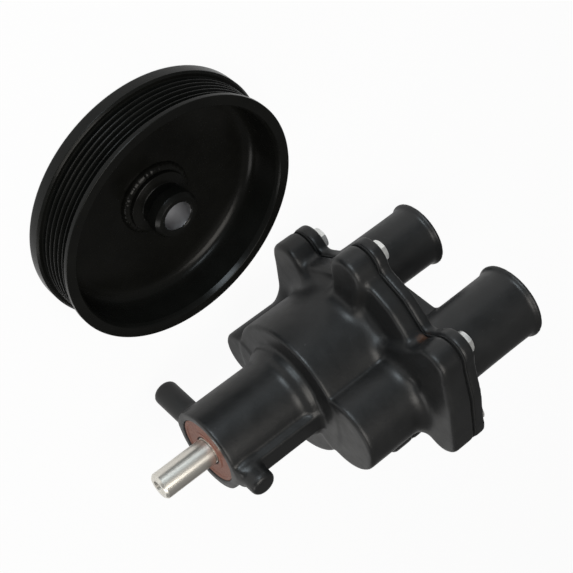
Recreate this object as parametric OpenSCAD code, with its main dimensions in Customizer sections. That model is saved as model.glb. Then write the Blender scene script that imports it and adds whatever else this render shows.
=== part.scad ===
// Flexible impeller pump with its grooved belt pulley beside it, lengths in millimetres.
// The shaft axis runs along +X, its free end at +X and the hose ports at -X; the floor is z = 0.
// The pulley lies on its back flange with its hub up, next to the pump on the -Y side.
// Inside at_pump() the origin is the middle of the nose face, and x falls towards the ports.

/* [Shaft and bearings] */
// diameter of the drive shaft at the pulley seat
shaft_d = 17; // [16:0.5:18]
// free length of the shaft in front of the nose
shaft_out = 35.5; // [30:0.5:45]
// outside diameter of both ball bearings
bearing_od = 40; // [39:0.5:41]
// width of each ball bearing
bearing_w = 12; // [11:0.5:13]
// balls in each bearing
ball_count = 8; // [7:1:9]

/* [Nose] */
// outside diameter of the bearing nose
nose_d = 53.6; // [52:0.2:58]
// length of the bearing nose
nose_len = 63.6; // [62:0.5:72]
// diameter of the front seal
seal_d = 43; // [42:0.1:44]
// diameter of the two mounting ears
ear_d = 16; // [14:0.5:18]
// reach of the lower ear from the shaft axis
ear_low = 53.5; // [48:0.5:58]
// reach of the upper ear from the shaft axis
ear_high = 42; // [40:0.5:50]

/* [Body] */
// diameter of the pump drum
drum_d = 90.6; // [86:0.5:96]
// length of the body from the nose to the gasket
body_len = 61; // [56:0.5:72]
// thickness of the flange lobes on the body
lobe_t = 16.5; // [15:0.5:19]
// radius of each flange lobe
lobe_r = 12; // [11.5:0.5:13.5]
// radius of the cover bolt circle
bolt_ring = 72.5; // [70:0.5:76]
// height of the bolt circle's centre over the shaft axis
bolt_ring_z = 15.6; // [12:0.2:18]

/* [Cover and ports] */
// thickness of the port cover's plate
cover_t = 7; // [6:0.5:10]
// thickness of the gasket
gasket_t = 0.8; // [0.5:0.1:1.5]
// reach of the hose ports from the cover plate
port_len = 74.2; // [60:0.5:85]
// outside diameter of the smaller hose port
small_port_d = 41.3; // [38:0.1:43]
// outside diameter of the larger hose port
large_port_d = 47.6; // [44:0.1:50]
// wall of both hose ports
port_wall = 4; // [3:0.5:5]
// depth of the smaller port's axis under the shaft axis
small_port_z = 35.2; // [34:0.2:38]
// height of the larger port's axis over the shaft axis
large_port_z = 46; // [44:0.2:48]

/* [Pulley] */
// diameter over the groove crests
pulley_d = 143.2; // [136:0.2:150]
// overall width of the pulley
pulley_w = 31.9; // [30:0.1:36]
// spacing of the belt grooves
groove_pitch = 3.56; // [3.4:0.01:3.7]
// belt grooves
groove_count = 6; // [4:1:6]
// height of the hub over the floor
hub_h = 28; // [25:0.5:30]

/* [Layout] */
// gap across the floor from the shaft axis to the pulley axis
pulley_gap = 147.6; // [146:0.2:175]
// setback of the pulley axis behind the nose face
pulley_back = 33.5; // [20:0.5:60]

/* [Hidden] */
$fn = 64;
cut = 1;
lap = 0.01;
fit_gap = 0.05;
run_gap = 0.4;
edge = 0.8;
cast_edge = 1.5;

shaft_r = shaft_d/2;
nose_r = nose_d/2;
drum_r = drum_d/2;
seal_r = seal_d/2;
brg_r = bearing_od/2;
ear_r = ear_d/2;
ear_x = -ear_r*1.15;

// nose stack, from the nose face back to the rear bearing
seal_in = 0.8;
seal_w = 7.2;
land_w = 2.1;
ring_t = 1.75;
ring_deep = 1.25;
weep_len = 9.75;
weep_hole_r = 2.5;
seal_front = -seal_in;
seal_back = seal_front - seal_w;
land_back = seal_back - land_w;
ring_back = land_back - ring_t;
ring_groove_r = brg_r + ring_deep;
brg1_back = ring_back - bearing_w;
brg2_back = weep_len - nose_len;
brg2_front = brg2_back + bearing_w;

// bearing sections, as shares of the room between shaft and bearing seat
race_share = 0.32;
ball_share = 0.295;
cage_share = 0.05;
race_room = brg_r - shaft_r;
race_in_r = shaft_r + race_share*race_room;
race_out_r = brg_r - race_share*race_room;
pitch_r = (shaft_r + brg_r)/2;
ball_r = ball_share*race_room;
ball_gap = 0.14;
pocket_gap = 0.03;
cage_r1 = pitch_r - cage_share*race_room;
cage_r2 = pitch_r + cage_share*race_room;
cage_w = 0.72*bearing_w;

// shaft steps and clip
shaft_edge = 1.4;
rear_step = 0.5;
collar_h = 2.3;
collar_t = 2;
tap_r = 3.4;
tap_len = 22;
tap_sink = 1.2;
relief_w = 1.2;
relief_deep = 0.4;
clip_t = 1.1;
clip_deep = 0.4;
clip_h = 1.9;
rear_r = shaft_r - rear_step;
collar_r = shaft_r + collar_h;

// end wall with the water seal, from the nose root back to the chamber
weep_deep = 2.4;
stop_t = 1.5;
seat_w = 5;
face_w = 3;
spring_w = 2.2;
cup_t = 1.6;
cup_wall = 0.6;
cup_gap = 0.7;
seat_h = 6;
neck_h = 1.7;
weep_step = 3.5;
body_x = -nose_len;
weep_end = body_x - weep_deep;
seat_stop = weep_end - stop_t;
seat_face = seat_stop - seat_w;
face_back = seat_face - face_w;
spring_back = face_back - spring_w;
cup_back = spring_back - cup_t;
wet_x = cup_back - cup_gap;
seat_r = rear_r + seat_h;
neck_r = shaft_r + neck_h;
weep_r = brg_r - weep_step;
slinger_t = 1;
slinger_cone = 2.1;

// pumping chamber
drum_wall = 6.8;
drum_edge = 2.4;
plate_t = 1.5;
insert_t = 4.5;
rubber_t = 4.5;
tail_gap = 4;
cam_lift = 5.7;
cam_share = 1.56;
vane_count = 8;
bulb_share = 0.075;
key_w = 4;
key_len = 20;
chamber_r = drum_r - drum_wall;
gasket_x = body_x - body_len;
rubber_x1 = wet_x - plate_t - run_gap;
rubber_x2 = gasket_x + run_gap;
key_x = (rubber_x1 + rubber_x2 - key_len)/2;
insert_r = rear_r + insert_t;
rubber_r = insert_r + rubber_t;
shaft_tail = gasket_x + tail_gap;
cam_r = cam_share*chamber_r;
cam_off = cam_r - chamber_r + cam_lift;
cam_x = (wet_x + gasket_x + lobe_t)/2;
bulb_r = bulb_share*chamber_r;

// screw that holds the cam
boss_r = 9;
boss_h = 4.5;
screw_r = 3;
screw_af = 10;
screw_head = 4;
screw_in = 4;
cam_washer_r = 7;
cam_washer_t = 1.2;
boss_top = drum_r + boss_h;

// cover, passages and ports
cover_x = gasket_x - gasket_t;
back_x = cover_x - cover_t;
port_x = back_x - port_len;
small_r = small_port_d/2;
large_r = large_port_d/2;
small_bore = small_r - port_wall;
large_bore = large_r - port_wall;
mouth_len = 3;
top_wall = 6.5;
top_lobe_r = large_bore + top_wall;
low_lobe_r = 16.2;
low_lobe_y = 9;
low_lobe_z = 45;
low_wall = 3.7;
low_pass_share = 0.6;
lobe_edge = 2;

// cover bolts: angle, and share of the bolt circle's radius
bolt_angle = [-121, -172, 128, 81, 12, -59];
bolt_share = [1.045, 0.97, 1.02, 0.935, 0.93, 1.045];
bolt_pos = [for (i = [0:len(bolt_angle) - 1])
    [bolt_ring*bolt_share[i]*cos(bolt_angle[i]), bolt_ring_z + bolt_ring*bolt_share[i]*sin(bolt_angle[i])]];
bolt_r = 4;
hole_gap = 0.3;
bolt_in = 12.5;
head_af = 13;
head_t = 4.6;
washer_r = 7.8;
washer_t = 1.2;
head_x = back_x - washer_t;
flange_step = 5;
flange_web = lobe_t - flange_step;

// flange outline between the lobes, as shares of the bolt circle's radius
web_share = [[-0.70, -0.30], [-0.97, 0.09], [-0.95, 0.29], [-0.85, 0.52], [-0.69, 0.68],
    [-0.57, 0.78], [-0.40, 1.00], [0.26, 1.00], [0.34, 0.86], [0.50, 0.74], [0.72, 0.58],
    [0.88, 0.40], [0.93, 0.09], [0.70, -0.30]];
crown_share = [[-0.60, 1.00], [-0.55, 1.20], [-0.27, 1.27], [0.06, 1.30], [0.14, 1.00]];

// ears and rib on the nose
ear_hole_r = 3.4;
ear_hole_in = 7.5;
rib_w = 15.4;
rib_h = 4.6;
rib_step = 2.6;
root_len = 10;
root_h = 3.8;

// pulley sections
back_lip = 2.8;
front_lip = 1.5;
rim_t = 5.6;
lip_t = 4.3;
web_low = 3;
web_t = 3.5;
cup_fillet = 9;
post_r = 18;
step_r = 18.2;
step_h = 12.2;
weld_w = 3.5;
weld_h = 3.6;
neck_hub_r = 12.4;
nut_r = 13.9;
nut_t = 7.8;
hub_edge = 1.5;
hub_slope = 1.3;
hub_lift = 0.56;
bore_edge = 0.9;
groove_angle = 40;
depth_share = 0.78;
land_share = 0.141;
front_share = 1.303;
rim_r = pulley_d/2;
back_r = rim_r + back_lip;
front_r = rim_r + front_lip;
cup_r = rim_r - rim_t;
lip_r = rim_r - lip_t;
web_top = web_low + web_t;
weld_r = step_r + weld_w;
groove_depth = depth_share*groove_pitch;
groove_half = land_share*groove_pitch;
flank = groove_depth*tan(groove_angle/2);
groove_z0 = pulley_w - (front_share + groove_count - 1)*groove_pitch;

// placing of the whole part
axis_h = lobe_r - bolt_pos[0][1];
front_x = max(shaft_out, back_r - pulley_back);
mid_x = (front_x + port_x)/2;
mid_y = (bolt_pos[4][0] + lobe_r - pulley_gap - back_r)/2;

module at_pump() {
    translate([-mid_x, -mid_y, axis_h]) children();
}
module at_pulley() {
    translate([-mid_x - pulley_back, -mid_y - pulley_gap, 0]) children();
}
// turns a drawing of [radius, x] pairs round the shaft axis
module spun() {
    rotate([90, 0, 90]) rotate_extrude() children();
}
// a plate between two x places, from a drawing in y and z
module slab(x0, x1) {
    translate([x0, 0, 0]) rotate([90, 0, 90]) linear_extrude(x1 - x0) children();
}
// a round bar between two x places
module bar(x0, x1, r, y = 0, z = 0) {
    translate([x0, y, z]) rotate([0, 90, 0]) cylinder(h = x1 - x0, r = r);
}
// a bar whose front edge is cut back by one chamfer
module cast_bar(x0, x1, r, y, z, chamfer) {
    bar(x0, x1 - chamfer, r, y, z);
    translate([x1 - chamfer - lap, y, z]) rotate([0, 90, 0])
        cylinder(h = chamfer + lap, r1 = r, r2 = r - chamfer);
}
// a ring between two x places
module ring(x0, x1, r0, r1) {
    difference() {
        bar(x0, x1, r1);
        bar(x0 - cut, x1 + cut, r0);
    }
}
// a rod along +Y from the height y0 over the shaft axis
module side_rod(y0, h, r) {
    translate([cam_x, y0, 0]) rotate([-90, 0, 0]) cylinder(h = h, r = r);
}

module tongue(p) {
    w = lobe_r*1.72;
    rotate(atan2(p[1], p[0])) translate([0, -w/2]) square([norm(p), w]);
}
// a straight flange side from one bolt to the next, a little inside the lobes' tangents
module band(p, q) {
    w = lobe_r*1.99;
    translate(p) rotate(atan2(q[1] - p[1], q[0] - p[0])) translate([0, -w/2]) square([norm(q - p), w]);
}
module thick_outline() {
    for (p = bolt_pos) translate(p) circle(r = lobe_r);
    band(bolt_pos[0], bolt_pos[5]);
    band(bolt_pos[2], bolt_pos[3]);
    polygon([for (s = crown_share) s*bolt_ring]);
    for (p = bolt_pos) tongue(p);
}
// a plate with the whole outline of the flange
module plate(x0, x1) {
    slab(x0, x1) thick_outline();
    slab(x0, x1) polygon([for (s = web_share) s*bolt_ring]);
    bar(x0, x1, drum_r*1.24);
}
module bolt_holes(x0, x1, r) {
    for (p = bolt_pos) bar(x0, x1, r, p[0], p[1]);
}
// the hollow of the body: the round chamber with a passage above and below it
module chamber_profile() {
    circle(r = chamber_r);
    translate([0, large_port_z]) circle(r = large_bore*0.95);
    translate([low_lobe_y*low_pass_share, -low_lobe_z*0.9]) circle(r = low_lobe_r - low_wall);
}

module ear(reach) {
    root = nose_r*0.9;
    rotate_extrude() polygon([[0, 0], [ear_r*1.12, 0], [ear_r*1.12, root], [ear_r*1.03, root + ear_r*0.3],
        [ear_r, root + ear_r*0.6], [ear_r, reach - ear_r*0.35], [ear_r*0.93, reach - ear_r*0.12],
        [ear_r*0.75, reach], [0, reach]]);
}
module ear_hole(z) {
    depth = ear_r*0.6;
    translate([ear_x, -depth, z]) rotate([-90, 0, 0]) cylinder(h = depth + ear_d, r = ear_hole_r);
}
module rib() {
    top = nose_r + rib_h;
    inside = nose_r*0.75;
    step_x = body_x + root_len*1.3;
    slope_x = step_x - rib_h*0.6;
    rear_x = body_x - cut;
    front = -cast_edge;
    translate([0, rib_w/2, 0]) rotate([90, 0, 0]) linear_extrude(rib_w) polygon([[front, inside],
        [front, top - cast_edge*2], [front*2, top], [step_x, top], [slope_x, top + rib_step], [rear_x, top + rib_step], [rear_x, inside]]);
}
module nose() {
    spun() polygon([[0, 0], [nose_r - edge, 0], [nose_r, -edge], [nose_r, body_x + root_len*1.1],
        [nose_r + root_h*0.2, body_x + root_len*0.8], [nose_r + root_h, body_x + root_len*0.45],
        [nose_r + root_h, wet_x], [0, wet_x]]);
}
module drum() {
    e = drum_edge*0.3;
    spun() polygon([[0, body_x], [drum_r - drum_edge, body_x], [drum_r - e, body_x - e],
        [drum_r, body_x - drum_edge], [drum_r, gasket_x], [0, gasket_x]]);
    cast_bar(gasket_x, body_x, top_lobe_r, 0, large_port_z, lobe_edge);
    cast_bar(gasket_x, body_x, low_lobe_r, low_lobe_y, -low_lobe_z, lobe_edge);
}
module flange() {
    plate(gasket_x, gasket_x + flange_web);
    slab(gasket_x, gasket_x + lobe_t - cast_edge) thick_outline();
    for (p = bolt_pos) cast_bar(gasket_x, gasket_x + lobe_t, lobe_r, p[0], p[1], cast_edge);
}
module nose_bores() {
    bar(seal_back, cut, seal_r);
    bar(brg2_back, seal_back + lap, brg_r);
    bar(ring_back, land_back, ring_groove_r);
    bar(weep_end, brg2_back + lap, weep_r);
    bar(seat_stop - lap, weep_end + lap, neck_r);
    bar(wet_x - lap, seat_stop, seat_r);
    translate([(brg2_back + weep_end)/2, 0, -nose_r*1.3]) cylinder(h = nose_r, r = weep_hole_r);
}
module housing() {
    color("#1c1d1f") difference() {
        union() {
            nose();
            drum();
            flange();
            translate([ear_x, 0, 0]) ear(ear_high);
            translate([ear_x, 0, 0]) rotate([180, 0, 0]) ear(ear_low);
            rib();
            side_rod(drum_r*0.9, boss_top - drum_r*0.9, boss_r);
        }
        nose_bores();
        slab(gasket_x - cut, wet_x) chamber_profile();
        bolt_holes(gasket_x - cut, gasket_x + bolt_in + cut, bolt_r);
        ear_hole(ear_high - ear_hole_in);
        ear_hole(ear_hole_in - ear_low);
        side_rod(chamber_r*0.8, drum_r, screw_r + hole_gap);
    }
}

module cam_shape() {
    intersection() {
        circle(r = chamber_r);
        difference() {
            translate([0, -chamber_r]) square([chamber_r*1.1, chamber_r*2]);
            translate([-cam_off, 0]) circle(r = cam_r);
        }
    }
}
module cam() {
    color("#b9a06a") difference() {
        slab(rubber_x2, rubber_x1) cam_shape();
        side_rod(chamber_r*0.75, drum_r, screw_r);
    }
}
module cam_screw() {
    head_y = boss_top + cam_washer_t;
    color("#c9cacb") {
        translate([cam_x, head_y, 0]) rotate([-90, 0, 0])
            cylinder(h = screw_head, r = screw_af/2/cos(30), $fn = 6);
        side_rod(chamber_r - screw_in, head_y - chamber_r + screw_in + lap, screw_r);
    }
}
module cam_washer() {
    color("#b06a3a") difference() {
        side_rod(boss_top, cam_washer_t, cam_washer_r);
        side_rod(boss_top - cut, cam_washer_t + 2*cut, screw_r + hole_gap);
    }
}
module wear_plate() {
    color("#c4c6c8") difference() {
        slab(wet_x - plate_t, wet_x) circle(r = chamber_r - hole_gap/2);
        bar(wet_x - plate_t - cut, wet_x + cut, seat_r);
    }
}

module port(r, z) {
    flare = r*0.14;
    bead = r*1.085;
    bead_w = r*0.16;
    translate([0, 0, z]) spun() polygon([[0, port_x], [r*1.055, port_x], [bead, port_x + bead_w*0.3],
        [bead, port_x + bead_w*0.7], [r*1.03, port_x + bead_w*1.4], [r*1.005, port_x + bead_w*2.4],
        [r, port_x + bead_w*4], [r, back_x - flare*2.6], [r + flare*0.2, back_x - flare*1.6],
        [r + flare, back_x - flare*0.5], [r + flare*1.6, back_x + lap], [0, back_x + lap]]);
}
module bore(r, z) {
    bar(port_x - cut, cover_x + cut, r, 0, z);
    translate([port_x - lap, 0, z]) rotate([0, 90, 0]) cylinder(h = mouth_len, r1 = r*1.1, r2 = r);
}
// the raised band that joins both ports on the back of the cover
module dome() {
    span = small_port_z + large_port_z;
    w = large_r*1.96;
    slab(back_x - cover_t*0.9, back_x + lap) {
        translate([0, -small_port_z]) circle(r = small_r*1.22);
        translate([0, large_port_z]) circle(r = large_r*1.22);
        translate([-w/2, -small_port_z]) square([w, span]);
    }
}
// the web between both ports
module web() {
    span = small_port_z + large_port_z;
    slab(back_x - port_len*0.42, back_x) translate([-large_r/2, -small_port_z]) square([large_r, span]);
}
module port_cover() {
    color("#1b1c1e") difference() {
        union() {
            plate(back_x, cover_x);
            port(small_r, -small_port_z);
            port(large_r, large_port_z);
            dome();
            web();
        }
        bore(small_bore, -small_port_z);
        bore(large_bore, large_port_z);
        bolt_holes(back_x - cut, cover_x + cut, bolt_r + hole_gap);
    }
}
module cover_gasket() {
    color("#0d0d0d") difference() {
        union() plate(cover_x, gasket_x);
        slab(cover_x - cut, gasket_x + cut) chamber_profile();
        bolt_holes(cover_x - cut, gasket_x + cut, bolt_r + hole_gap);
    }
}
module cover_bolts() {
    color("#d4d5d6") for (p = bolt_pos) translate([0, p[0], p[1]]) {
        translate([head_x - head_t, 0, 0]) rotate([0, 90, 0])
            cylinder(h = head_t, r = head_af/2/cos(30), $fn = 6);
        bar(head_x - lap, gasket_x + bolt_in, bolt_r);
    }
}
module bolt_washers() {
    color("#c2c4c6") for (p = bolt_pos) translate([0, p[0], p[1]]) ring(head_x, back_x, bolt_r, washer_r);
}

// how far a vane at angle a can reach before it meets the cam or the chamber wall
function cam_room(a) = pow(cam_r, 2) - pow(cam_off*sin(a), 2);
function cam_reach(a) = cos(a) > 0 && cam_room(a) > 0
    ? min(chamber_r, sqrt(cam_room(a)) - cam_off*cos(a)) : chamber_r;
module vane(i) {
    a = (i + 0.5)*360/vane_count;
    tip = min(cam_reach(a), cam_reach(a - 5), cam_reach(a + 5)) - bulb_r - run_gap;
    t = bulb_r*0.62;
    rotate(a) {
        translate([tip, 0]) circle(r = bulb_r, $fn = 24);
        polygon([[rubber_r*0.8, -t*1.7], [rubber_r*1.3, -t], [tip, -t*0.9], [tip, t*0.9],
            [rubber_r*1.3, t], [rubber_r*0.8, t*1.7]]);
    }
}
module impeller() {
    color("#161616") difference() {
        slab(rubber_x2, rubber_x1) {
            circle(r = rubber_r);
            for (i = [0:vane_count - 1]) vane(i);
        }
        bar(rubber_x2 - cut, rubber_x1 + cut, insert_r);
    }
}
module impeller_key() {
    color("#a9abad") translate([key_x, -key_w/2, rear_r - key_w*0.6])
        cube([key_len, key_w, key_w*1.2]);
}
module impeller_insert() {
    color("#b08d57") difference() {
        ring(rubber_x2, rubber_x1, rear_r, insert_r);
        impeller_key();
    }
}
module shaft() {
    color("#cfd0d2") difference() {
        spun() polygon([[0, shaft_out], [shaft_r - shaft_edge, shaft_out], [shaft_r, shaft_out - shaft_edge],
            [shaft_r, brg2_back], [collar_r, brg2_back], [collar_r, brg2_back - collar_t],
            [rear_r, brg2_back - collar_t], [rear_r, shaft_tail + edge], [rear_r - edge, shaft_tail],
            [0, shaft_tail]]);
        bar(shaft_out - tap_len, shaft_out + cut, tap_r);
        translate([shaft_out - 2*tap_sink + lap, 0, 0]) rotate([0, 90, 0])
            cylinder(h = 2*tap_sink, r1 = tap_r, r2 = tap_r + tap_sink);
        ring(-relief_w, 0, shaft_r - relief_deep, shaft_r + cut);
        ring(ring_back, ring_back + clip_t, shaft_r - clip_deep, shaft_r + cut);
        impeller_key();
    }
}

module race_groove(x0) {
    translate([x0 + bearing_w/2, 0, 0]) spun()
        translate([pitch_r, 0]) circle(r = ball_r + ball_gap, $fn = 48);
}
module outer_ring(x0) {
    color("#b7b9bb") difference() {
        ring(x0, x0 + bearing_w, race_out_r, brg_r);
        race_groove(x0);
    }
}
module inner_ring(x0) {
    color("#b7b9bb") difference() {
        ring(x0, x0 + bearing_w, shaft_r, race_in_r);
        race_groove(x0);
    }
}
module ball_ring(x0) {
    color("#dcdde0") translate([x0 + bearing_w/2, 0, 0]) for (i = [0:ball_count - 1])
        rotate([i*360/ball_count, 0, 0]) translate([0, 0, pitch_r]) sphere(r = ball_r, $fn = 24);
}
module cage(x0) {
    side = (bearing_w - cage_w)/2;
    color("#8d7a4c") difference() {
        ring(x0 + side, x0 + side + cage_w, cage_r1, cage_r2);
        translate([x0 + bearing_w/2, 0, 0]) for (i = [0:ball_count - 1])
            rotate([i*360/ball_count, 0, 0]) cylinder(h = brg_r, r = ball_r + pocket_gap, $fn = 24);
    }
}
module bearing_spacer() {
    color("#a5a7a9") ring(brg2_front, brg1_back, shaft_r, race_in_r - run_gap);
}
module retaining_ring() {
    slot = brg_r*0.32;
    color("#8f9193") difference() {
        ring(ring_back, land_back, brg_r*0.86, ring_groove_r);
        translate([ring_back - cut, -slot/2, -brg_r*1.2]) cube([ring_t + 2*cut, slot, brg_r]);
    }
}
module shaft_clip() {
    slot = shaft_r*0.6;
    color("#8f9193") difference() {
        ring(ring_back, ring_back + clip_t, shaft_r - clip_deep, shaft_r + clip_h);
        translate([ring_back - cut, -slot/2, 0]) cube([clip_t + 2*cut, slot, shaft_r*2]);
    }
}
module front_seal() {
    skin = seal_w*0.2;
    lip_r1 = shaft_r*1.5;
    case_r = seal_r*0.93;
    color("#9c4a35") spun() polygon([[shaft_r + fit_gap, seal_front - skin], [shaft_r*1.16, seal_front],
        [shaft_r*1.45, seal_front], [lip_r1, seal_front - skin*0.35], [seal_r*0.86, seal_front - skin*0.35],
        [seal_r*0.9, seal_front], [seal_r*0.985, seal_front], [seal_r, seal_front - skin*0.35],
        [seal_r, seal_back], [case_r, seal_back], [case_r, seal_front - skin*1.7],
        [lip_r1, seal_front - skin*1.7], [shaft_r*1.3, seal_back + skin*0.7],
        [shaft_r*1.12, seal_back + skin*0.7], [shaft_r + fit_gap, seal_front - skin*2.2]]);
}
module slinger() {
    x0 = brg2_back - collar_t - 2*fit_gap;
    x1 = x0 - slinger_cone;
    rim = weep_r*0.8;
    color("#202020") spun() polygon([[rear_r, x0], [shaft_r*1.2, x0], [rim, x1], [rim, x1 - slinger_t],
        [rear_r, x1 - slinger_t]]);
}
module seal_seat() {
    color("#e4e2da") ring(seat_face, seat_stop, rear_r + 2*run_gap, seat_r);
}
module seal_face() {
    color("#2c2c2e") ring(face_back, seat_face - fit_gap, rear_r, seat_r*0.86);
}
module seal_cup() {
    color("#bfc1c3") difference() {
        ring(cup_back, face_back, rear_r, seat_r*0.9);
        ring(spring_back, face_back + cut, rear_r*1.12, seat_r*0.9 - cup_wall);
    }
}
module seal_spring() {
    wire = spring_w/5.2;
    mean_r = (rear_r*1.12 + seat_r*0.9 - cup_wall)/2;
    color("#c7c9cb") spun() for (i = [0:2]) translate([mean_r, spring_back + wire*(1 + 1.6*i)])
        circle(r = wire, $fn = 16);
}

function groove(k) = let (z = groove_z0 + k*groove_pitch) [[rim_r, z - groove_half - flank],
    [rim_r - groove_depth, z - groove_half], [rim_r - groove_depth, z + groove_half],
    [rim_r, z + groove_half + flank]];
function arc(cx, cz, r, a0, a1, n) = [for (i = [0:n]) let (a = a0 + (a1 - a0)*i/n)
    [cx + r*cos(a), cz + r*sin(a)]];
module pulley_rim() {
    g0 = groove(0)[0][1];
    g1 = groove(groove_count - 1)[3][1];
    corner = min(cast_edge, g0/3);
    back = concat(arc(back_r - corner, corner, corner, -90, 0, 4),
        [[back_r, g0 - edge*1.5], [back_r - edge, g0 - edge*0.4]]);
    front = [[front_r - edge/2, g1 + edge*0.3], [front_r, g1 + edge], [front_r, pulley_w - edge],
        [front_r - edge, pulley_w], [lip_r + edge, pulley_w], [lip_r, pulley_w - edge],
        [cup_r, pulley_w - edge*4]];
    cup = concat(arc(cup_r - cup_fillet, web_top + cup_fillet, cup_fillet, 0, -90, 8),
        [[post_r, web_top], [post_r, web_low], [cup_r - cup_fillet, web_low], [cup_r - web_low, 0]]);
    grooves = [for (k = [0:groove_count - 1]) each groove(k)];
    color("#121213") at_pulley() rotate_extrude($fn = 160) polygon(concat(back, grooves, front, cup));
}
module pulley_hub() {
    color("#141415") at_pulley() rotate_extrude() polygon([[shaft_r + bore_edge, hub_lift],
        [post_r - edge, hub_lift], [post_r, hub_lift + edge], [post_r, web_top], [step_r, web_top],
        [step_r, step_h - edge], [step_r - edge, step_h], [neck_hub_r + edge, step_h + hub_slope],
        [neck_hub_r, step_h + hub_slope + edge], [neck_hub_r, hub_h - nut_t - hub_slope - edge],
        [nut_r - edge, hub_h - nut_t - edge], [nut_r, hub_h - nut_t], [nut_r, hub_h - hub_edge],
        [nut_r - hub_edge, hub_h], [shaft_r + bore_edge, hub_h], [shaft_r, hub_h - bore_edge],
        [shaft_r, hub_lift + bore_edge]]);
}
module pulley_weld() {
    color("#161617") at_pulley() rotate_extrude() polygon([[step_r, web_top], [weld_r, web_top],
        [weld_r - weld_w*0.14, web_top + weld_h*0.45], [step_r + weld_w*0.5, web_top + weld_h*0.85],
        [step_r, web_top + weld_h]]);
}

at_pump() housing();
at_pump() port_cover();
at_pump() cover_gasket();
at_pump() cover_bolts();
at_pump() bolt_washers();
at_pump() wear_plate();
at_pump() cam();
at_pump() cam_screw();
at_pump() cam_washer();
at_pump() impeller();
at_pump() impeller_insert();
at_pump() impeller_key();
at_pump() shaft();
at_pump() outer_ring(brg1_back);  // front_outer_ring
at_pump() inner_ring(brg1_back);  // front_inner_ring
at_pump() ball_ring(brg1_back);  // front_balls
at_pump() cage(brg1_back);  // front_cage
at_pump() outer_ring(brg2_back);  // rear_outer_ring
at_pump() inner_ring(brg2_back);  // rear_inner_ring
at_pump() ball_ring(brg2_back);  // rear_balls
at_pump() cage(brg2_back);  // rear_cage
at_pump() bearing_spacer();
at_pump() retaining_ring();
at_pump() shaft_clip();
at_pump() front_seal();
at_pump() slinger();
at_pump() seal_seat();
at_pump() seal_face();
at_pump() seal_spring();
at_pump() seal_cup();
pulley_rim();
pulley_hub();
pulley_weld();
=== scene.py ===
import math
import bpy
import numpy as np
from mathutils import Matrix, Vector


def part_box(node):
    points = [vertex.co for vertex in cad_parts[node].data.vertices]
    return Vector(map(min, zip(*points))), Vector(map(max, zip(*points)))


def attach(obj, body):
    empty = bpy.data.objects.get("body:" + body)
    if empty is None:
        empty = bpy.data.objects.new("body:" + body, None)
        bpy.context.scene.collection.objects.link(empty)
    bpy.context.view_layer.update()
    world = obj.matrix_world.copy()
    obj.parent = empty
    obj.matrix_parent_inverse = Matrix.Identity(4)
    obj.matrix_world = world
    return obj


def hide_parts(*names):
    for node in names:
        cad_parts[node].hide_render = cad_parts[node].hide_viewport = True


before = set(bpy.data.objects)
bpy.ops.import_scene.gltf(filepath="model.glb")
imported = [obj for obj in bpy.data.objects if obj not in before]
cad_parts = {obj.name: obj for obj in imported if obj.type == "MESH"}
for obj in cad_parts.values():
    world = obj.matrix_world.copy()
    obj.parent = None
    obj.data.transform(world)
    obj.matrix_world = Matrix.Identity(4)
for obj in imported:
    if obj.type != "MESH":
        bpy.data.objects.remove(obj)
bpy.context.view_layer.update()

MM = 0.001


# Places from the frame, in metres
low_housing, high_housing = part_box("housing")
low_shaft, high_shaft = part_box("shaft")
low_gasket, high_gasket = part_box("cover_gasket")
low_washers, high_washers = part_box("bolt_washers")
low_cover, high_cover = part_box("port_cover")
high_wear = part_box("wear_plate")[1]
low_rim, high_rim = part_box("pulley_rim")
high_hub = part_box("pulley_hub")[1]
pump_at = Vector((high_housing[0], (low_shaft[1] + high_shaft[1])/2, (low_shaft[2] + high_shaft[2])/2))
pulley_at = Vector(((low_rim[0] + high_rim[0])/2, (low_rim[1] + high_rim[1])/2, 0.0))


def from_nose(x):
    """A place along the shaft, in millimetres from the nose face."""
    return (x - pump_at.x)/MM


# The pump's sizes in millimetres, from the nose face and the shaft axis
gasket_x = from_nose(high_gasket[0])
cover_x = from_nose(low_gasket[0])
back_x = from_nose(high_washers[0])
head_x = from_nose(low_washers[0])
port_x = from_nose(low_cover[0])
wet_x = from_nose(high_wear[0])
body_x = -63.6
nose_r = 26.8
drum_r = 45.3
chamber_r = 38.5
lobe_r = 12.0
lobe_t = 16.5
web_flange_t = 11.5
root_r = 30.6
seal_r = 21.5
seal_back = -8.0
bearing_r = 20.0
bearing_back, bearing_ledge = -54.0, 3.5
weep_back, weep_r = -66.0, 2.5
neck_r = 10.2
seat_r = 14.0
top_lobe_r, top_lobe_z = 26.3, 46.0
low_lobe_r, low_lobe_y, low_lobe_z = 16.2, 9.0, -45.0
ear_r, ear_x, ear_high, ear_low = 8.0, -9.2, 42.0, -53.5
small_port_r, small_port_z = 20.65, -35.2
large_port_r, large_port_z = 23.8, 46.0
port_wall = 4.0
low_pass_r, low_pass_y, low_pass_z = 12.5, 5.4, -40.5
high_pass_share = 0.95
ear_hole_r, ear_hole_in, ear_hole_from = 3.4, 7.5, -4.8
rib_front, rib_rise = -1.2, 4.4
cam_boss_r, cam_boss_out = 9.0, 4.5
gasket_room = 9.0
dome_t, web_reach, web_round = 6.3, 31.0, 2.5
bead_out, bead_half, bead_at = 1.7, 1.9, 1.3
mouth_share, mouth_reach = 0.018, 8.0
foot_out, foot_reach, foot_back = 5.0, 4.5, 6.0
cast_edge, drum_edge, lobe_edge, flange_edge, cover_edge, cut_edge = 2.4, 1.8, 3.2, 2.4, 1.3, 0.2
flange_low_y, flange_high_y = -84, 80
fine_step, quick_step = 1.08, 1.6
bolt_ring, bolt_ring_z = 72.5, 15.6
bolt_angles = (-121, -172, 128, 81, 12, -59)
bolt_shares = (1.045, 0.97, 1.02, 0.935, 0.93, 1.045)
head_af, head_t, head_chamfer = 13.0, 4.6, 1.4
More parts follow.
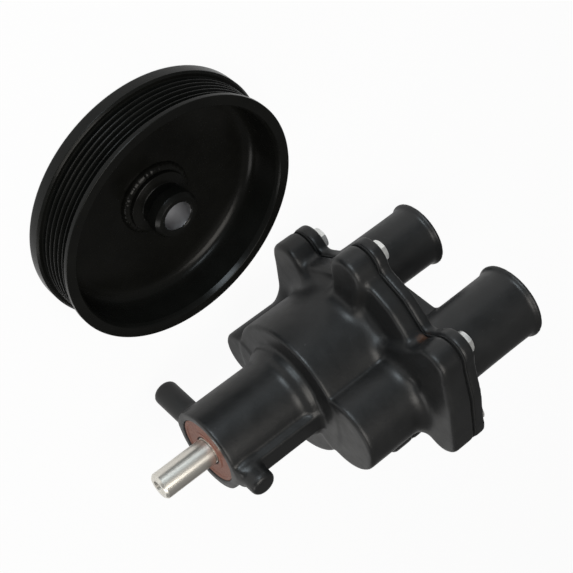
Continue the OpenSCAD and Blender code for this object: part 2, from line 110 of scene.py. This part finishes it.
head_turn, head_spread = math.radians(54), math.radians(7)
web_shares = ((-0.70, -0.30), (-0.97, 0.09), (-0.95, 0.29), (-0.85, 0.52), (-0.69, 0.68), (-0.57, 0.78),
              (-0.40, 1.00), (0.26, 1.00), (0.34, 0.86), (0.50, 0.74), (0.72, 0.58), (0.88, 0.40),
              (0.93, 0.09), (0.70, -0.30))
crown_shares = ((-0.60, 1.00), (-0.55, 1.20), (-0.27, 1.27), (0.06, 1.30), (0.14, 1.00))
bolts = [(bolt_ring*s*math.cos(math.radians(a)), bolt_ring_z + bolt_ring*s*math.sin(math.radians(a)))
         for a, s in zip(bolt_angles, bolt_shares)]


# Camera at the photograph's angle
photo_side = 573
focal_px = 1427.0
camera_azimuth, camera_elevation, camera_roll = 26.76, 32.76, 129.0
camera_distance = 0.830
camera_target = pulley_at + Vector((-0.0536, 0.0904, 0.040))


def add_camera():
    az, el, roll = (math.radians(a) for a in (camera_azimuth, camera_elevation, camera_roll))
    back = Vector((math.sin(az)*math.cos(el), -math.cos(az)*math.cos(el), math.sin(el)))
    right = Vector((math.cos(az), math.sin(az), 0))
    up = back.cross(right)
    turned_right = right*math.cos(roll) + up*math.sin(roll)
    turned_up = up*math.cos(roll) - right*math.sin(roll)
    data = bpy.data.cameras.new("camera")
    data.sensor_width = 36
    data.sensor_fit = "HORIZONTAL"
    data.lens = focal_px/photo_side*data.sensor_width
    data.clip_start = 0.01
    camera = bpy.data.objects.new("camera", data)
    turn = Matrix((turned_right, turned_up, back)).transposed().to_4x4()
    camera.matrix_world = Matrix.Translation(camera_target + back*camera_distance) @ turn
    bpy.context.collection.objects.link(camera)
    bpy.context.scene.camera = camera


add_camera()


# Distance fields for the cast pieces, in millimetres
class Grid:
    def __init__(self, low, high, step):
        self.step = step
        self.axes = [np.arange(a - 4*step, b + 5*step, step, dtype=np.float32) for a, b in zip(low, high)]
        self.x = self.axes[0][:, None, None]
        self.y = self.axes[1][None, :, None]
        self.z = self.axes[2][None, None, :]


def join(a, b, k):
    """Smooth union with a fillet of about k."""
    h = np.maximum(k - np.abs(a - b), 0)/k
    return np.minimum(a, b) - h*h*k*0.25


def carve(a, b, k=0.4):
    """Takes b out of a, with a small rounded edge."""
    return -join(-a, b, k)


def rounded_pair(across, along, r):
    """A solid from its distance across and along, its edges rounded by r."""
    across = across + r
    along = along + r
    return np.hypot(np.maximum(across, 0), np.maximum(along, 0)) + np.minimum(np.maximum(across, along), 0) - r


def span(v, a, b):
    return np.abs(v - (a + b)/2) - (b - a)/2


def prism(g, shape, x0, x1, r):
    return rounded_pair(shape, span(g.x, x0, x1), r)


def disc(g, y, z, r):
    return np.hypot(g.y - y, g.z - z) - r


def strip(g, p, q, r):
    """A straight band with round ends in the y, z plane."""
    (py, pz), (qy, qz) = p, q
    dy, dz = qy - py, qz - pz
    t = np.clip(((g.y - py)*dy + (g.z - pz)*dz)/(dy*dy + dz*dz), 0, 1)
    return np.hypot(g.y - py - t*dy, g.z - pz - t*dz) - r


def polygon(g, points):
    """Signed distance to a polygon in the y, z plane."""
    best = np.full((1, g.y.shape[1], g.z.shape[2]), 1e6, np.float32)
    inside = np.zeros(best.shape, bool)
    for (ay, az), (by, bz) in zip(points, points[1:] + points[:1]):
        ey, ez = by - ay, bz - az
        wy, wz = g.y - ay, g.z - az
        t = np.clip((wy*ey + wz*ez)/(ey*ey + ez*ez), 0, 1)
        best = np.minimum(best, np.hypot(wy - ey*t, wz - ez*t))
        crosses = ((g.z >= az) != (g.z >= bz)) & (ey*wz/(ez or 1e-9) > wy)
        inside ^= crosses
    return np.where(inside, -best, best).astype(np.float32)


def upright(g, x, y, r, z0, z1, edge):
    return rounded_pair(np.hypot(g.x - x, g.y - y) - r, span(g.z, z0, z1), edge)


def sideways(g, x, z, r, y0, y1, edge):
    return rounded_pair(np.hypot(g.x - x, g.z - z) - r, span(g.y, y0, y1), edge)


def brick(g, low, high, r):
    parts = [span(v, a, b) + r for v, a, b in zip((g.x, g.y, g.z), low, high)]
    outside = np.sqrt(sum(np.maximum(p, 0)**2 for p in parts))
    return outside + np.minimum(np.maximum(np.maximum(parts[0], parts[1]), parts[2]), 0) - r


def surface(g, field):
    """The zero surface of a field, one point in each cell that it crosses."""
    inside = field < 0
    shape = tuple(n - 1 for n in field.shape)
    total = [np.zeros(shape, np.float32) for _ in range(3)]
    count = np.zeros(shape, np.float32)
    crossings = []
    for axis in range(3):
        near = [slice(None)]*3
        far = [slice(None)]*3
        near[axis] = slice(None, -1)
        far[axis] = slice(1, None)
        near, far = tuple(near), tuple(far)
        spots = np.argwhere(inside[near] != inside[far])
        a = field[near][tuple(spots.T)]
        b = field[far][tuple(spots.T)]
        place = spots.astype(np.float32)
        place[:, axis] += a/(a - b)
        crossings.append((axis, spots, a < 0))
        others = [i for i in range(3) if i != axis]
        for back_one in (0, 1):
            for back_two in (0, 1):
                cell = spots.copy()
                cell[:, others[0]] -= back_one
                cell[:, others[1]] -= back_two
                key = tuple(cell.T)
                for i in range(3):
                    np.add.at(total[i], key, place[:, i])
                np.add.at(count, key, 1)
    used = count > 0
    index = np.full(shape, -1, np.int64)
    index[used] = np.arange(int(used.sum()))
    origin = np.array([a[0] for a in g.axes])
    points = np.stack([(t[used]/count[used]) for t in total], -1)*g.step + origin
    quads = []
    for axis, spots, forward in crossings:
        others = [i for i in range(3) if i != axis]
        if axis == 1:
            others.reverse()
        ring = []
        for back_one, back_two in ((1, 1), (0, 1), (0, 0), (1, 0)):
            cell = spots.copy()
            cell[:, others[0]] -= back_one
            cell[:, others[1]] -= back_two
            ring.append(index[tuple(cell.T)])
        quad = np.stack(ring, -1)
        quad[~forward] = quad[~forward][:, ::-1]
        quads.append(quad)
    return points, np.concatenate(quads)


def mesh_piece(name, points, faces, smooth_angle=None):
    """A new piece from points in metres."""
    mesh = bpy.data.meshes.new(name)
    mesh.from_pydata(np.asarray(points, float).tolist(), [], [list(map(int, f)) for f in faces])
    mesh.polygons.foreach_set("use_smooth", [True]*len(mesh.polygons))
    if smooth_angle:
        mesh.set_sharp_from_angle(angle=math.radians(smooth_angle))
    mesh.update()
    piece = bpy.data.objects.new(name, mesh)
    bpy.context.collection.objects.link(piece)
    return piece


def cast_piece(name, g, field):
    points, faces = surface(g, field)
    return mesh_piece(name, points*MM + np.array(pump_at), faces)


def inside_box(g, body, low, high):
    """Keeps a casting inside the solid's own box."""
    for v, a, b, start in zip((g.x, g.y, g.z), low, high, pump_at):
        body = np.maximum(body, span(v, (a - start)/MM, (b - start)/MM))
    return body


def soften(shape, times):
    """Rounds the corners of a drawing in the y, z plane."""
    for _ in range(times):
        for axis in (1, 2):
            shape = (np.roll(shape, 1, axis) + shape + np.roll(shape, -1, axis))/3
    return shape


def thick_shape(g):
    """The flange's lobes, straight sides and crown, seen along the shaft."""
    spoke_share, spoke_r = 0.98, lobe_r*0.86
    lobes = np.minimum(strip(g, bolts[0], bolts[5], lobe_r), strip(g, bolts[2], bolts[3], lobe_r))
    for p in (bolts[1], bolts[4]):
        lobes = np.minimum(lobes, disc(g, *p, lobe_r))
    crown = polygon(g, [(y*bolt_ring, z*bolt_ring) for y, z in crown_shares])
    spokes = disc(g, 0, 0, lobe_r)
    for y, z in bolts:
        spokes = np.minimum(spokes, strip(g, (0, 0), (y*spoke_share, z*spoke_share), spoke_r))
    return soften(join(join(lobes, crown, 1.5), spokes, 6), 2)


def web_shape(g):
    """The thin web that fills the flange between its lobes."""
    shape = polygon(g, [(y*bolt_ring, z*bolt_ring) for y, z in web_shares])
    return soften(join(shape, disc(g, 0, 0, drum_r*1.24), 5), 14)


def flange_shape(g):
    """The whole outline of the cover."""
    return soften(join(web_shape(g), thick_shape(g), 5), 3)


def housing_field(g):
    body = prism(g, disc(g, 0, 0, nose_r), body_x - 5, 0, 1.0)
    body = join(body, prism(g, disc(g, 0, 0, root_r), body_x - 5, body_x + 5.5, 3.0), 7)
    ears = upright(g, ear_x, 0, ear_r, 0, ear_high, lobe_edge)
    ears = np.minimum(ears, upright(g, ear_x, 0, ear_r, ear_low, 0, lobe_edge))
    body = join(body, ears, 3)
    rib = brick(g, (body_x - 3, -ear_r, 0), (rib_front, ear_r, nose_r + rib_rise), 2.6)
    body = join(body, rib, 2.5)

    drum = prism(g, disc(g, 0, 0, drum_r), gasket_x, body_x, drum_edge)
    for r, y, z, fillet in ((top_lobe_r, 0, top_lobe_z, 2), (low_lobe_r, low_lobe_y, low_lobe_z, 3)):
        drum = join(drum, prism(g, disc(g, y, z, r), gasket_x, body_x, cast_edge), fillet)
    body = join(body, drum, 3)
    flange = prism(g, web_shape(g), gasket_x, gasket_x + web_flange_t, flange_edge)
    flange = join(flange, prism(g, thick_shape(g), gasket_x, gasket_x + lobe_t, lobe_edge), 6)
    body = join(body, flange, 9)
    cam_x = (wet_x + gasket_x + lobe_t)/2
    cam_boss = sideways(g, cam_x, 0, cam_boss_r, drum_r*0.8, drum_r + cam_boss_out, 1.0)
    body = join(body, cam_boss, 4)
    body = carve(body, span(g.x, gasket_x - gasket_room, gasket_x))

    # The stepped bore, from the seal at the nose to the water seal's seat
    for r, x0, x1 in ((seal_r, seal_back, 5), (bearing_r, bearing_back, seal_back + 1),
                      (bearing_r - bearing_ledge, weep_back, bearing_back + 1),
                      (neck_r, weep_back - 3, weep_back + 2), (seat_r, wet_x - 2, weep_back - 1.5)):
        body = carve(body, prism(g, disc(g, 0, 0, r), x0, x1, cut_edge))
    hollow = disc(g, 0, 0, chamber_r)
    hollow = np.minimum(hollow, disc(g, 0, large_port_z, (large_port_r - port_wall)*high_pass_share))
    hollow = np.minimum(hollow, disc(g, low_pass_y, low_pass_z, low_pass_r))
    body = carve(body, prism(g, hollow, gasket_x - gasket_room, wet_x, cut_edge))
    for z in (ear_high - ear_hole_in, ear_low + ear_hole_in):
        body = carve(body, sideways(g, ear_x, z, ear_hole_r, ear_hole_from, ear_r*2, cut_edge))
    weep_x = (weep_back + bearing_back)/2
    body = carve(body, upright(g, weep_x, 0, weep_r, -nose_r*1.3, -nose_r*0.5, cut_edge))
    return inside_box(g, body, low_housing, high_housing)


def port_field(g, r, z):
    """The outside of a hose port with its bead, and the fillet at its foot."""
    out = np.hypot(g.y, g.z - z)
    from_end = g.x - port_x
    from_plate = g.x - (back_x - foot_back)
    bead = bead_out/(1 + (np.abs(from_end - bead_at)/bead_half)**6)
    mouth = r*mouth_share*np.exp(-np.maximum(from_end, 0)/mouth_reach)
    foot = foot_out*np.exp(np.minimum(from_plate, 0)/foot_reach)
    return rounded_pair(out - r - (bead + mouth) - foot, span(g.x, port_x, back_x + 2), 0.9)


def cover_field(g):
    ports = ((small_port_r, small_port_z), (large_port_r, large_port_z))
    body = prism(g, flange_shape(g), back_x, cover_x, cover_edge)
    dome = strip(g, (0, small_port_z), (0, large_port_z), large_port_r*0.98)
    for r, z in ports:
        dome = join(dome, disc(g, 0, z, r*1.22), 5)
    body = join(body, prism(g, dome, back_x - dome_t, back_x + 1, 2.2), 4)
    for r, z in ports:
        body = join(body, port_field(g, r, z), 2)
    web_half = large_port_r/2
    web = brick(g, (back_x - web_reach, -web_half, small_port_z), (back_x, web_half, large_port_z), web_round)
    body = join(body, web, 2.5)
    for p in bolts:
        body = join(body, prism(g, disc(g, *p, lobe_r), back_x, cover_x, 1.0), 1.5)
    body = carve(body, -span(g.x, port_x, cover_x))
    for r, z in ports:
        flare = np.maximum(port_x + 3 - g.x, 0)*0.6
        body = carve(body, np.hypot(g.y, g.z - z) - (r - port_wall) - flare, 0.8)
    return inside_box(g, body, low_cover, high_cover)


def add_castings():
    low = [from_nose(low_housing[0]), flange_low_y, low_housing[2]/MM - pump_at.z/MM]
    high = [0, flange_high_y, high_housing[2]/MM - pump_at.z/MM]
    step = fine_step
    g = Grid(low, high, step)
    housing = cast_piece("housing_cast", g, housing_field(g))
    low[0], high[0] = port_x, cover_x
    g = Grid(low, high, step)
    cover = cast_piece("cover_cast", g, cover_field(g))
    for piece, node in ((housing, "housing"), (cover, "port_cover")):
        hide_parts(node)
        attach(piece, "pump")
    return housing, cover


# Turned pieces
def round_corners(corners, steps=5):
    """A closed profile from corners given as (radius, height, rounding)."""
    points = []
    count = len(corners)
    for i, (r, h, rounding) in enumerate(corners):
        here = Vector((r, h))
        before = Vector(corners[i - 1][:2]) - here
        after = Vector(corners[(i + 1) % count][:2]) - here
        if rounding <= 0:
            points.append(tuple(here))
            continue
        angle = before.angle(after)
        back = min(rounding/math.tan(angle/2), before.length*0.49, after.length*0.49)
        start = here + before.normalized()*back
        end = here + after.normalized()*back
        for k in range(steps + 1):
            t = k/steps
            points.append(tuple(start*(1 - t)**2 + here*(2*t*(1 - t)) + end*t**2))
    return points


def turned(name, profile, segments, place, smooth_angle=30, wobble=None):
    """Turns a closed profile of (radius, height) in millimetres round an upright axis."""
    points, faces = [], []
    count = len(profile)
    for s in range(segments):
        a = 2*math.pi*s/segments
        for k, (r, h) in enumerate(profile):
            dr, dh = wobble(a, k/count) if wobble else (0, 0)
            points.append((place.x + (r + dr)*MM*math.cos(a), place.y + (r + dr)*MM*math.sin(a),
                           place.z + (h + dh)*MM))
    for s in range(segments):
        t = (s + 1) % segments
        for k in range(count):
            n = (k + 1) % count
            faces.append((s*count + k, t*count + k, t*count + n, s*count + n))
    return mesh_piece(name, points, faces, smooth_angle)


def add_pulley():
    width = (high_rim[2] - low_rim[2])/MM
    back_r = (high_rim[0] - low_rim[0])/2/MM
    rim_r = back_r - 2.8
    front_r = rim_r + 1.5
    cup_r = rim_r - 5.6
    hub_h = high_hub[2]/MM
    grooves, pitch, deep, land, crest, root = 6, 3.56, 2.78, 0.5, 0.35, 0.25
    flank = deep*math.tan(math.radians(20))
    band, disc_top, disc_low, disc_r = 7.9, 6.5, 3.0, 18.0
    corners = [(back_r, 0, 1.4), (back_r, band - 1, 0.4), (back_r - 1.2, band, 0.3)]
    for k in range(grooves):
        z = band + land + flank + k*pitch
        corners += [(rim_r, z - land - flank, crest), (rim_r - deep, z - land, root),
                    (rim_r - deep, z + land, root), (rim_r, z + land + flank, crest)]
    corners += [(front_r - 0.3, width - 2.9, 0.2), (front_r, width - 2.4, 0.3), (front_r, width, 0.6),
                (rim_r - 4.3, width, 0.5), (rim_r - 4.9, width - 1.2, 0.4), (cup_r, width - 3, 0.6),
                (cup_r, disc_top, 9.0), (disc_r, disc_top, 0), (disc_r, disc_low, 0),
                (cup_r - 9, disc_low, 1.0), (cup_r - 3, 0, 0.6)]
    rim = turned("pulley_rim_turned", round_corners(corners, 6), 288, pulley_at)

    bore_r, neck, boss_r = 8.5, 12.4, 13.9
    hub_corners = [(bore_r + 0.9, 0.56, 0.2), (disc_r, 0.56, 0.8), (disc_r, disc_top, 0),
                   (disc_r + 0.2, disc_top, 0), (disc_r + 0.2, 12.2, 0.7), (neck, 13.5, 0.9), (neck, 18.3, 0.5),
                   (boss_r, 19.8, 0.4), (boss_r, hub_h - 2.2, 0.5), (12.1, hub_h, 0.4),
                   (bore_r + 0.9, hub_h, 0.2), (bore_r, hub_h - 0.9, 0.1), (bore_r, 1.46, 0.1)]
    hub = turned("pulley_hub_turned", round_corners(hub_corners, 4), 128, pulley_at)

    # The weld's bead rises and falls by a few slow and a few quick waves
    draw = np.random.default_rng(7)
    waves = [(n, draw.uniform(0, 6.3), draw.uniform(0.06, 0.2)) for n in (3, 5, 8, 13, 21, 34, 47)]

    def wobble(a, share):
        lift = sum(size*math.sin(n*a + phase) for n, phase, size in waves)
        return (lift*0.6*math.sin(math.pi*share), lift*0.5*math.sin(math.pi*share))

    weld_z, weld_out, weld_high = 6.4, 3.6, 3.4
    weld_arc = [(disc_r + weld_out*math.cos(t), weld_z + weld_high*math.sin(t))
                for t in np.linspace(0, math.pi/2, 9)]
    weld = turned("pulley_weld_bead", [(disc_r, weld_z)] + weld_arc, 240, pulley_at, 60, wobble)
    for piece, node in ((rim, "pulley_rim"), (hub, "pulley_hub"), (weld, "pulley_weld")):
        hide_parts(node)
        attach(piece, "pulley")
    return rim, hub, weld


def add_bolt_heads():
    """Hex heads with a turned chamfer on the six cover bolts."""
    half = head_af/2
    corner = half/math.cos(math.radians(30))
    levels = [(corner, 0.0), (corner, head_t - head_chamfer), (half*1.02, head_t - 0.35), (half*0.9, head_t)]
    points, faces = [], []
    sides = 48
    top = (len(levels) - 1)*sides
    for b, (y, z) in enumerate(bolts):
        base = len(points)
        for limit, h in levels:
            for s in range(sides):
                a = 2*math.pi*s/sides + head_turn + head_spread*math.sin(2.4*b)
                local = (2*math.pi*s/sides + math.pi/6) % (math.pi/3) - math.pi/6
                r = min(half/math.cos(local), limit)
                points.append((head_x - h, y + r*math.cos(a), z + r*math.sin(a)))
        for start in range(base, base + top, sides):
            for s in range(sides):
                t = (s + 1) % sides
                faces.append([start + s, start + t, start + sides + t, start + sides + s])
        faces.append([base + top + s for s in range(sides)])
        faces.append([base + s for s in reversed(range(sides))])
    piece = mesh_piece("cover_bolt_heads", np.array(points)*MM + np.array(pump_at), faces, 20)
    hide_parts("cover_bolts")
    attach(piece, "pump")
    return piece


# Materials
rust_place = (-121.5, -48.0, 57.0)
# Radius in millimetres inside which the seal is painted near-black, a painted shade of the gap round the shaft
shaft_gap_shade_r = 9.2
paint_free_r = 8.7


class Material:
    """A small helper that adds and links shader nodes, with scales in millimetres."""

    def __init__(self, name, colour, roughness, metallic=0.0):
        self.material = bpy.data.materials.new(name)
        self.material.use_nodes = True
        self.tree = self.material.node_tree
        self.shader = self.tree.nodes["Principled BSDF"]
        self.set(self.shader, **{"Base Color": (*colour, 1), "Roughness": roughness, "Metallic": metallic})
        self.place = self.add("ShaderNodeTexCoord").outputs["Object"]

    def add(self, kind, **sockets):
        node = self.tree.nodes.new(kind)
        self.set(node, **sockets)
        return node

    def set(self, node, **sockets):
        for key, value in sockets.items():
            if isinstance(value, bpy.types.NodeSocket):
                self.tree.links.new(value, node.inputs[key])
            else:
                node.inputs[key].default_value = value

    def noise(self, size_mm, detail=3.0, roughness=0.55, vector=None):
        node = self.add("ShaderNodeTexNoise", Scale=1/(size_mm*MM), Detail=detail, Roughness=roughness)
        self.tree.links.new(vector or self.place, node.inputs["Vector"])
        return node.outputs["Fac"]

    def stretch(self, x, y, z):
        node = self.add("ShaderNodeMapping", Scale=(x, y, z))
        self.tree.links.new(self.place, node.inputs["Vector"])
        return node.outputs["Vector"]

    def ramp(self, value, low, high, out_low=0.0, out_high=1.0):
        node = self.add("ShaderNodeMapRange")
        for key, number in (("From Min", low), ("From Max", high), ("To Min", out_low), ("To Max", out_high)):
            node.inputs[key].default_value = number
        self.tree.links.new(value, node.inputs["Value"])
        return node.outputs["Result"]

    def mix(self, factor, a, b):
        node = self.add("ShaderNodeMix")
        node.data_type = "RGBA"
        for socket, value in ((node.inputs[0], factor), (node.inputs[6], a), (node.inputs[7], b)):
            if isinstance(value, bpy.types.NodeSocket):
                self.tree.links.new(value, socket)
            elif isinstance(value, tuple):
                socket.default_value = (*value, 1)
            else:
                socket.default_value = value
        return node.outputs[2]

    def math(self, operation, a, b=0.0):
        node = self.add("ShaderNodeMath")
        node.operation = operation
        for socket, value in zip(node.inputs, (a, b)):
            if isinstance(value, bpy.types.NodeSocket):
                self.tree.links.new(value, socket)
            else:
                socket.default_value = value
        return node.outputs[0]

    def bump(self, height, distance_mm, strength=1.0, normal=None):
        node = self.add("ShaderNodeBump", Height=height, Distance=distance_mm*MM, Strength=strength)
        if normal:
            self.tree.links.new(normal, node.inputs["Normal"])
        self.tree.links.new(node.outputs["Normal"], self.shader.inputs["Normal"])
        return node.outputs["Normal"]

    def colour(self, value):
        self.tree.links.new(value, self.shader.inputs["Base Color"])

    def rough(self, value):
        self.tree.links.new(value, self.shader.inputs["Roughness"])

    def distance(self, centre, axis=None):
        """Distance from a point, or from a line through it along one axis, in millimetres."""
        shift = self.add("ShaderNodeVectorMath")
        shift.operation = "SUBTRACT"
        self.tree.links.new(self.place, shift.inputs[0])
        shift.inputs[1].default_value = centre
        flat = self.add("ShaderNodeVectorMath")
        flat.operation = "MULTIPLY"
        self.tree.links.new(shift.outputs["Vector"], flat.inputs[0])
        flat.inputs[1].default_value = [0 if i == axis else 1/MM for i in range(3)]
        length = self.add("ShaderNodeVectorMath")
        length.operation = "LENGTH"
        self.tree.links.new(flat.outputs["Vector"], length.inputs[0])
        return length.outputs["Value"]


def casting_paint():
    m = Material("casting_paint", (0.013, 0.014, 0.015), 0.36)
    m.set(m.shader, **{"Specular IOR Level": 0.42})
    base = m.mix(m.ramp(m.noise(38, 4), 0.35, 0.7), (0.0100, 0.0102, 0.0104), (0.0165, 0.0168, 0.0170))
    dust = m.ramp(m.noise(2.6, 2, 0.5), 0.70, 0.80)
    base = m.mix(m.math("MULTIPLY", dust, 0.35), base, (0.06, 0.06, 0.06))
    rust_at = pump_at + Vector(rust_place)*MM
    away = m.math("ADD", m.distance(rust_at), m.ramp(m.noise(2.2, 3), 0.3, 0.7, -1.6, 1.6))
    base = m.mix(m.ramp(away, 1.8, 5.4, 0.55, 0.0), base, (0.11, 0.045, 0.020))
    m.colour(base)
    m.rough(m.ramp(m.noise(9, 4), 0.3, 0.7, 0.35, 0.45))
    waves = m.bump(m.noise(7, 3), 0.25, 0.5)
    pits = m.bump(m.ramp(m.noise(3.4, 1, 0.3), 0.66, 0.78, 1.0, 0.0), 0.2, 0.15, waves)
    m.bump(m.noise(1.5, 5, 0.6), 0.06, 0.55, pits)
    return m.material


def pulley_paint():
    m = Material("pulley_paint", (0.004, 0.004, 0.004), 0.24)
    m.set(m.shader, **{"Specular IOR Level": 0.18})
    m.colour(m.mix(m.ramp(m.noise(30, 3), 0.35, 0.7), (0.0046, 0.0047, 0.0041), (0.0076, 0.0077, 0.0068)))
    m.rough(m.ramp(m.noise(5, 4), 0.3, 0.7, 0.22, 0.29))
    m.bump(m.noise(1.8, 2), 0.02, 0.2)
    return m.material


def steel(name, colour, low, high, vector_scale=(1, 1, 1), depth=0.02, metallic=1.0, grain=2.4):
    m = Material(name, colour, low, metallic)
    along = m.stretch(*vector_scale)
    lines = m.noise(grain, 1, 0.4, along)
    m.rough(m.ramp(lines, 0.3, 0.7, low, high))
    dark = tuple(c*0.85 for c in colour)
    m.colour(m.mix(m.ramp(m.noise(grain*2.5, 2, 0.5, along), 0.35, 0.75), colour, dark))
    m.bump(lines, depth, 0.05)
    return m.material


def seal_rubber():
    m = Material("seal_rubber", (0.30, 0.13, 0.09), 0.55)
    face = m.mix(m.ramp(m.noise(2.2, 5, 0.65), 0.3, 0.7), (0.20, 0.075, 0.050), (0.30, 0.13, 0.09))
    # Near the shaft the seal is painted near-black: painted shade of the gap where the shaft meets the seal
    shaft_gap_shade = m.ramp(m.distance(pump_at, 0), shaft_gap_shade_r, shaft_gap_shade_r + 0.8)
    m.colour(m.mix(shaft_gap_shade, (0.03, 0.022, 0.02), face))
    m.rough(m.ramp(m.noise(1.2, 3), 0.3, 0.7, 0.42, 0.65))
    m.bump(m.noise(0.6, 4), 0.06, 0.5)
    return m.material


def plain(name, colour, roughness, metallic=0.0, size=1.5):
    m = Material(name, colour, roughness, metallic)
    dark = tuple(c*0.7 for c in colour)
    m.colour(m.mix(m.ramp(m.noise(size*4, 4), 0.3, 0.7), dark, colour))
    m.rough(m.ramp(m.noise(size, 3), 0.3, 0.7, roughness*0.8, min(1.0, roughness*1.25)))
    m.bump(m.noise(size*0.5, 3), 0.03, 0.4)
    return m.material


def dress(thing, material):
    thing.data.materials.clear()
    thing.data.materials.append(material)


housing_cast, cover_cast = add_castings()
rim_piece, hub_piece, weld_piece = add_pulley()
bolt_piece = add_bolt_heads()

paint = casting_paint()
black = pulley_paint()
bright = steel("bright_steel", (0.92, 0.92, 0.90), 0.285, 0.34, depth=0.008, metallic=0.75)
ground = steel("shaft_steel", (0.88, 0.85, 0.78), 0.285, 0.33, (0.06, 1.0, 1.0), 0.0002, 0.90, 2.2)
bare = steel("bore_steel", (0.50, 0.50, 0.51), 0.30, 0.45)
for piece, material in ((housing_cast, paint), (cover_cast, paint), (rim_piece, black),
                        (weld_piece, black), (hub_piece, black), (bolt_piece, bright)):
    dress(piece, material)
# The hub's bore is bare steel
hub_piece.data.materials.append(bare)
for face in hub_piece.data.polygons:
    out = math.hypot(face.center.x - pulley_at.x, face.center.y - pulley_at.y)/MM
    if out < paint_free_r:
        face.material_index = 1

finishes = {
    "cover_gasket": plain("gasket_paper", (0.012, 0.012, 0.012), 0.8),
    "bolt_washers": paint,
    "cam_screw": bright,
    "wear_plate": bright,
    "seal_cup": bright,
    "cam_washer": plain("copper", (0.60, 0.30, 0.17), 0.35, 1.0),
    "cam": plain("cam_bronze", (0.55, 0.40, 0.20), 0.35, 1.0),
    "impeller_insert": plain("insert_bronze", (0.52, 0.38, 0.20), 0.35, 1.0),
    "impeller": plain("impeller_rubber", (0.015, 0.015, 0.015), 0.6),
    "slinger": plain("slinger_rubber", (0.015, 0.015, 0.015), 0.6),
    "impeller_key": plain("spring_steel", (0.30, 0.30, 0.31), 0.35, 1.0),
    "shaft": ground,
    "front_seal": seal_rubber(),
    "seal_seat": plain("ceramic", (0.75, 0.73, 0.68), 0.25),
    "seal_face": plain("carbon", (0.03, 0.03, 0.032), 0.4),
}
for node in ("bearing_spacer", "retaining_ring", "shaft_clip", "seal_spring"):
    finishes[node] = finishes["impeller_key"]
race_steel = plain("bearing_steel", (0.60, 0.60, 0.61), 0.18, 1.0)
cage_metal = plain("cage_brass", (0.52, 0.42, 0.22), 0.35, 1.0)
for end in ("front", "rear"):
    for part in ("outer_ring", "inner_ring", "balls"):
        finishes[f"{end}_{part}"] = race_steel
    finishes[f"{end}_cage"] = cage_metal
for node, material in finishes.items():
    dress(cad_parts[node], material)


# Floor, light and world
floor_half, floor_z = 6.0, -0.0004
white_share, mirrored_share = 0.95, 0.45
world_level = 0.13
lamps = (
    ("low_side", (0.30, -1.30, 0.30), 0.55, 9, (0.82, 0.93, 1.0)),
    ("overhead", (0.28, -0.36, 1.15), 0.75, 8, (1.0, 0.96, 0.90)),
    ("far_side", (1.2, 0.45, 0.5), 0.5, 2.5, (1.0, 0.98, 0.95)),
)


def add_floor():
    """A pale floor that looks white to the camera and keeps the shadows."""
    corners = [(x*floor_half, y*floor_half, floor_z) for x, y in ((-1, -1), (1, -1), (1, 1), (-1, 1))]
    floor = mesh_piece("floor", corners, [(0, 1, 2, 3)])
    m = Material("floor_paper", (0.9, 0.9, 0.9), 0.9)
    rays = m.add("ShaderNodeLightPath").outputs
    seen = m.math("MAXIMUM", rays["Is Camera Ray"], rays["Is Transmission Ray"])
    mirrored = m.math("MULTIPLY", rays["Is Glossy Ray"], mirrored_share)
    share = m.math("MULTIPLY", m.math("MAXIMUM", seen, mirrored), white_share)
    glow = m.add("ShaderNodeEmission", Color=(1, 1, 1, 1), Strength=1.0)
    blend = m.add("ShaderNodeMixShader")
    for socket, value in zip(blend.inputs, (share, m.shader.outputs[0], glow.outputs[0])):
        m.tree.links.new(value, socket)
    m.tree.links.new(blend.outputs[0], m.tree.nodes["Material Output"].inputs["Surface"])
    dress(floor, m.material)


def add_light(name, place, aim, size, watts, colour):
    data = bpy.data.lights.new(name, "AREA")
    data.shape = "SQUARE"
    data.size = size
    data.energy = watts
    data.color = colour
    light = bpy.data.objects.new(name, data)
    light.location = place
    light.rotation_euler = (Vector(aim) - Vector(place)).to_track_quat("-Z", "Y").to_euler()
    bpy.context.collection.objects.link(light)


def add_world():
    world = bpy.data.worlds.new("studio")
    bpy.context.scene.world = world
    world.use_nodes = True
    tree = world.node_tree
    background = tree.nodes["Background"]
    background.inputs["Color"].default_value = (1, 1, 1, 1)
    rays = tree.nodes.new("ShaderNodeLightPath")
    level = tree.nodes.new("ShaderNodeMapRange")
    level.inputs["To Min"].default_value = world_level
    level.inputs["To Max"].default_value = 1.0
    tree.links.new(rays.outputs["Is Camera Ray"], level.inputs["Value"])
    tree.links.new(level.outputs["Result"], background.inputs["Strength"])


add_floor()
add_world()
centre = (pump_at + pulley_at)/2
for lamp, place, size, watts, colour in lamps:
    add_light(lamp, place, centre, size, watts, colour)
bpy.context.scene.view_settings.view_transform = "Standard"
